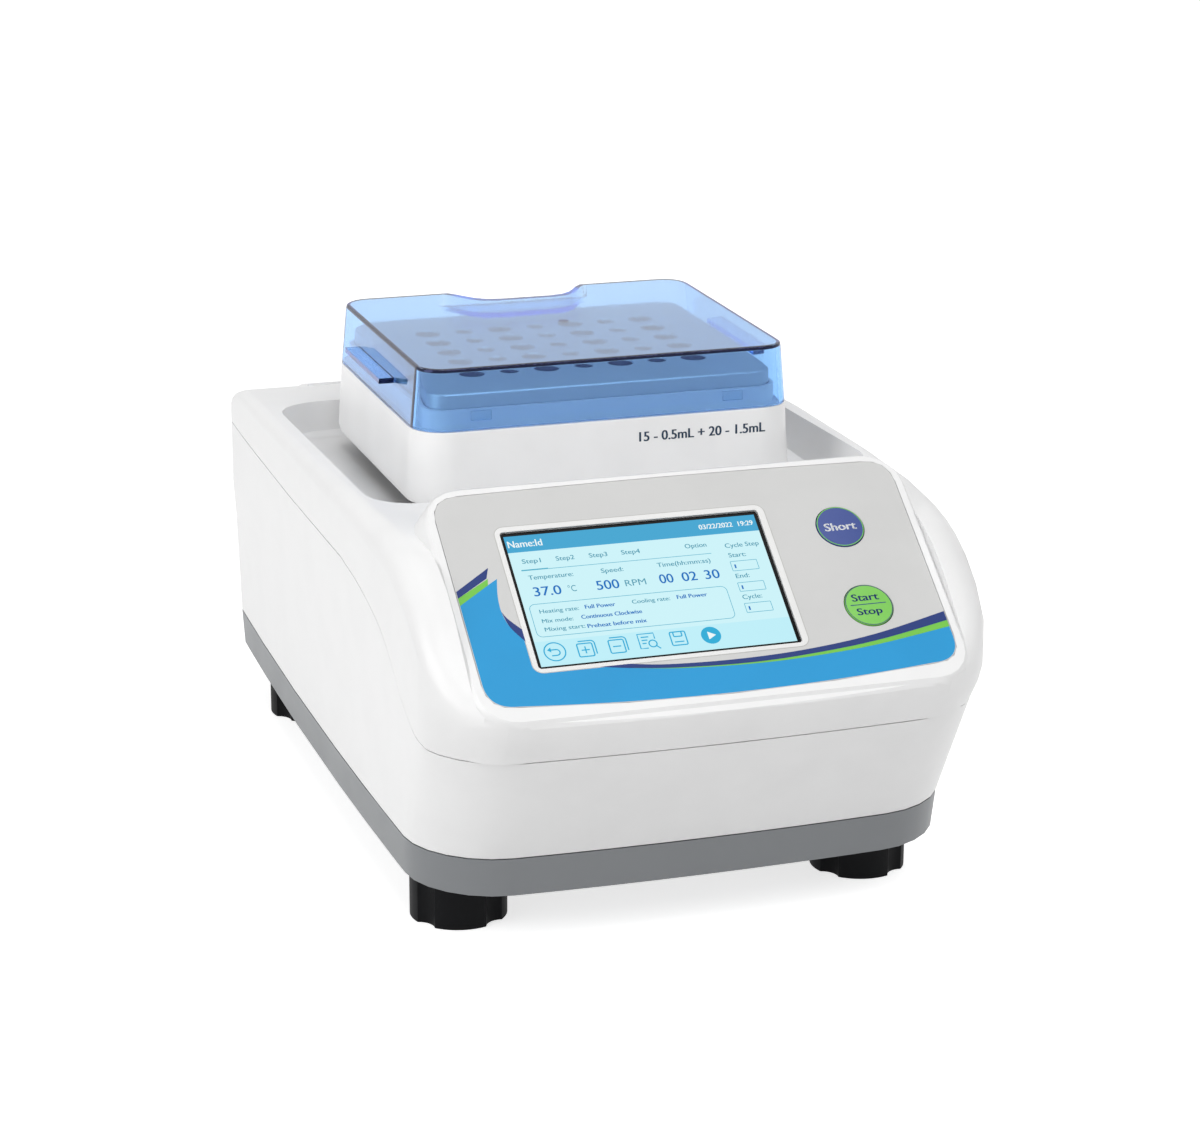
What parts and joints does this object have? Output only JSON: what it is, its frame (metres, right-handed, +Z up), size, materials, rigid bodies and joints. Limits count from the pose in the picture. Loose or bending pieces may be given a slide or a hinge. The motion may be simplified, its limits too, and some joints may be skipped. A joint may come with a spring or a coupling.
{
  "type": "incubated benchtop shaker",
  "caption": "Benchtop heating and cooling shaker: moulded casing with a sloped touch-screen console, and an orbiting tube block under a clear blue lift-off lid.",
  "frame": {"origin": "middle of the footprint, on the surface that the feet stand on", "axes": "+Z up, +Y from the console at the front to the rear panel, +X to the right of someone facing the console"},
  "size_m": [0.2446, 0.403, 0.214],
  "materials": {
    "white_abs": "satin moulded",
    "grey_abs": "satin moulded",
    "foot_rubber": "matt moulded",
    "overlay_film": "fine matt film with printed fields",
    "display_glass": "glossy lit display",
    "blue_key": "satin",
    "green_key": "satin",
    "black_nylon": "matt moulded",
    "plated_steel": "zinc plated",
    "anodised_aluminium": "satin anodised",
    "circuit_board": "solder mask",
    "alumina": "matt ceramic",
    "insulation_foam": "closed-cell foam",
    "blue_polycarbonate": "clear tinted"
  },
  "bodies": {
    "casing": {"foot_front_left": "foot_rubber", "foot_front_right": "foot_rubber", "foot_rear_left": "foot_rubber", "foot_rear_right": "foot_rubber", "base_pan": "grey_abs", "lower_casing": "white_abs", "top_cover": "white_abs", "panel_overlay": "overlay_film", "touch_glass": "display_glass", "display_module": "black_nylon", "control_board": "circuit_board", "short_switch": "black_nylon", "start_stop_switch": "black_nylon", "rear_panel": "grey_abs", "mains_inlet": "black_nylon", "rocker_frame": "black_nylon", "usb_port": "plated_steel", "fan_frame": "black_nylon", "chassis_plate": "plated_steel", "power_supply": "plated_steel", "drive_motor": "black_nylon", "main_bearing": "plated_steel", "idler_post_left": "anodised_aluminium", "idler_post_right": "anodised_aluminium"},
    "drive_shaft": {"eccentric_shaft": "plated_steel", "counterweight": "plated_steel"},
    "shaking_head": {"shaker_platform": "anodised_aluminium", "pin_bearing": "plated_steel", "idler_bush_left": "plated_steel", "idler_bush_right": "plated_steel", "head_base": "black_nylon", "heat_sink": "anodised_aluminium", "thermoelectric_module_left": "alumina", "thermoelectric_module_right": "alumina", "heat_block": "anodised_aluminium", "insulation_jacket": "insulation_foam", "head_housing": "white_abs"},
    "idler_left": {"idler_crank_left": "plated_steel"},
    "idler_right": {"idler_crank_right": "plated_steel"},
    "lid": {"lid": "blue_polycarbonate"},
    "short_key": {"short_button": "blue_key"},
    "start_stop_key": {"start_stop_button": "green_key"},
    "power_switch": {"power_rocker": "black_nylon"},
    "fuse_holder": {"fuse_drawer": "black_nylon"},
    "fan": {"fan_rotor": "black_nylon"}
  },
  "joints": [
    {"name": "eccentric_spin", "type": "hinge", "parent": "casing", "child": "drive_shaft", "pos_m": [-0.0015, 0.0335, 0.085], "axis": [0, 0, 1], "continuous": true},
    {"name": "platform_orbit", "type": "hinge", "parent": "drive_shaft", "child": "shaking_head", "pos_m": [0, 0.0335, 0.098], "axis": [0, 0, 1], "continuous": true},
    {"name": "idler_left_spin", "type": "hinge", "parent": "casing", "child": "idler_left", "pos_m": [-0.0495, 0.0335, 0.07], "axis": [0, 0, 1], "continuous": true},
    {"name": "idler_right_spin", "type": "hinge", "parent": "casing", "child": "idler_right", "pos_m": [0.0465, 0.0335, 0.07], "axis": [0, 0, 1], "continuous": true},
    {"name": "lid_lift", "type": "slide", "parent": "shaking_head", "child": "lid", "axis": [0, 0, 1], "range_m": [0, 0.08]},
    {"name": "short_press", "type": "slide", "parent": "casing", "child": "short_key", "axis": [0, 0.592, -0.8059], "range_m": [0, 0.0008], "stiffness_N_per_m": 2500, "springref_m": -0.0002},
    {"name": "start_stop_press", "type": "slide", "parent": "casing", "child": "start_stop_key", "axis": [0, 0.592, -0.8059], "range_m": [0, 0.0008], "stiffness_N_per_m": 2500, "springref_m": -0.0002},
    {"name": "power_rock", "type": "hinge", "parent": "casing", "child": "power_switch", "pos_m": [0.066, 0.19386, 0.114], "axis": [1, 0, 0], "range_deg": [0, 16]},
    {"name": "fuse_drawer_pull", "type": "slide", "parent": "casing", "child": "fuse_holder", "axis": [0, 1, 0], "range_m": [0, 0.018]},
    {"name": "fan_spin", "type": "hinge", "parent": "casing", "child": "fan", "pos_m": [0, 0.1792, 0.091], "axis": [0, 1, 0], "continuous": true}
  ],
  "couplings": [
    {"joint": "platform_orbit", "follows": "eccentric_spin", "ratio": -1},
    {"joint": "idler_left_spin", "follows": "eccentric_spin", "ratio": 1},
    {"joint": "idler_right_spin", "follows": "eccentric_spin", "ratio": 1}
  ]
}
